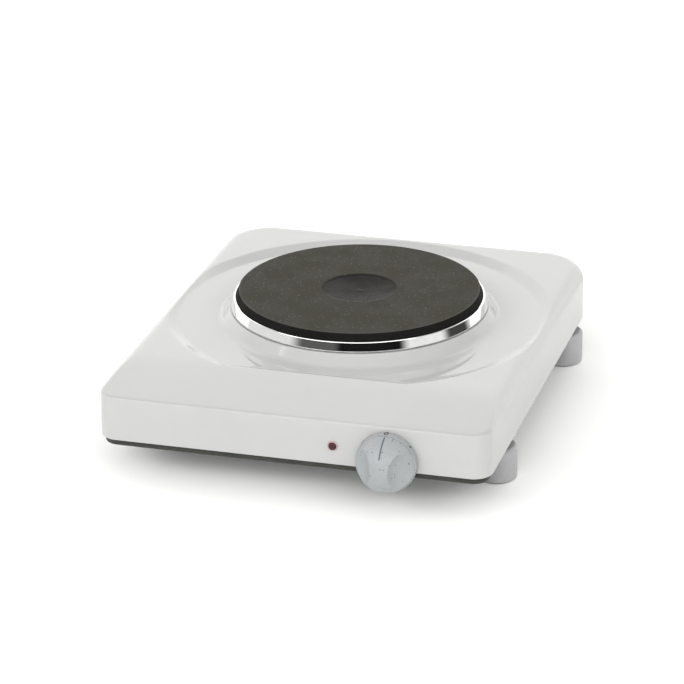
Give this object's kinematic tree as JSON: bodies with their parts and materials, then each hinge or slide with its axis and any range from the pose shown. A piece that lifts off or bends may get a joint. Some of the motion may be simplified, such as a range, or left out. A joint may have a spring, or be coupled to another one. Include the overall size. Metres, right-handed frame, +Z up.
{
  "type": "electric hot plate burner",
  "caption": "Free-standing electric hot plate: enamelled casing on round feet, cast-iron plate in a trim ring, rotary heat knob and pilot lamp.",
  "frame": {"origin": "on the floor, in the middle of the footprint box, knob and rear gland included", "axes": "+Z up, front with the knob towards -Y, +X to the right seen from the front"},
  "size_m": [0.288, 0.3714, 0.088],
  "materials": {
    "enamel": "white vitreous enamel, glossy",
    "cast_iron": "seasoned dark coating, fine grain",
    "stainless": "bright polished stainless sheet",
    "zinc": "zinc-plated sheet and screws",
    "knob_plastic": "light blue-grey moulded plastic, fine texture",
    "foot_plastic": "light grey moulded plastic",
    "rubber": "black rubber",
    "red_lens": "dark red clear plastic",
    "lamp_plastic": "pale clear plastic",
    "ceramic": "unglazed steatite",
    "dark_plastic": "black moulded plastic",
    "cement": "grey insulating cement over the coil",
    "brass": "bare brass",
    "fibre": "pressed mineral fibre",
    "lead": "silicone-covered lead"
  },
  "bodies": {
    "root": {"body_shell": "enamel", "base_pan": "zinc", "hotplate": "cast_iron", "heating_coil_inner": "cement", "heating_coil_middle": "cement", "heating_coil_outer": "cement", "trim_ring": "stainless", "ring_gasket": "fibre", "plate_cover": "zinc", "centre_stud": "zinc", "stud_washer": "zinc", "stud_nut": "zinc", "clamp_bar": "zinc", "plate_terminals": "ceramic", "thermal_cutout": "zinc", "heat_shield": "zinc", "switch_bracket": "zinc", "switch_housing": "dark_plastic", "switch_cover": "dark_plastic", "switch_screw_left": "zinc", "switch_screw_right": "zinc", "dial_ring": "knob_plastic", "lamp_body": "lamp_plastic", "lamp_lens": "red_lens", "lamp_clip": "stainless", "mains_terminals": "ceramic", "cord_gland": "rubber", "cord_clamp": "dark_plastic", "cord_clamp_screw_left": "zinc", "cord_clamp_screw_right": "zinc", "earth_tag": "brass", "earth_screw": "zinc", "foot_front_left": "foot_plastic", "foot_pad_front_left": "rubber", "foot_screw_front_left": "zinc", "corner_lug_front_left": "zinc", "base_screw_front_left": "zinc", "foot_front_right": "foot_plastic", "foot_pad_front_right": "rubber", "foot_screw_front_right": "zinc", "corner_lug_front_right": "zinc", "base_screw_front_right": "zinc", "foot_rear_left": "foot_plastic", "foot_pad_rear_left": "rubber", "foot_screw_rear_left": "zinc", "corner_lug_rear_left": "zinc", "base_screw_rear_left": "zinc", "foot_rear_right": "foot_plastic", "foot_pad_rear_right": "rubber", "foot_screw_rear_right": "zinc", "corner_lug_rear_right": "zinc", "base_screw_rear_right": "zinc", "lead_plate_low": "lead", "lead_plate_high": "lead", "lead_mains": "lead", "lead_lamp": "lead"},
    "knob_body": {"knob": "knob_plastic", "knob_clip": "stainless", "switch_shaft": "brass", "cam_drum": "ceramic"}
  },
  "joints": [
    {"name": "knob_turn", "type": "hinge", "parent": "root", "child": "knob_body", "pos_m": [0.07, -0.16025, 0.0375], "axis": [0, -1, 0], "continuous": true}
  ]
}
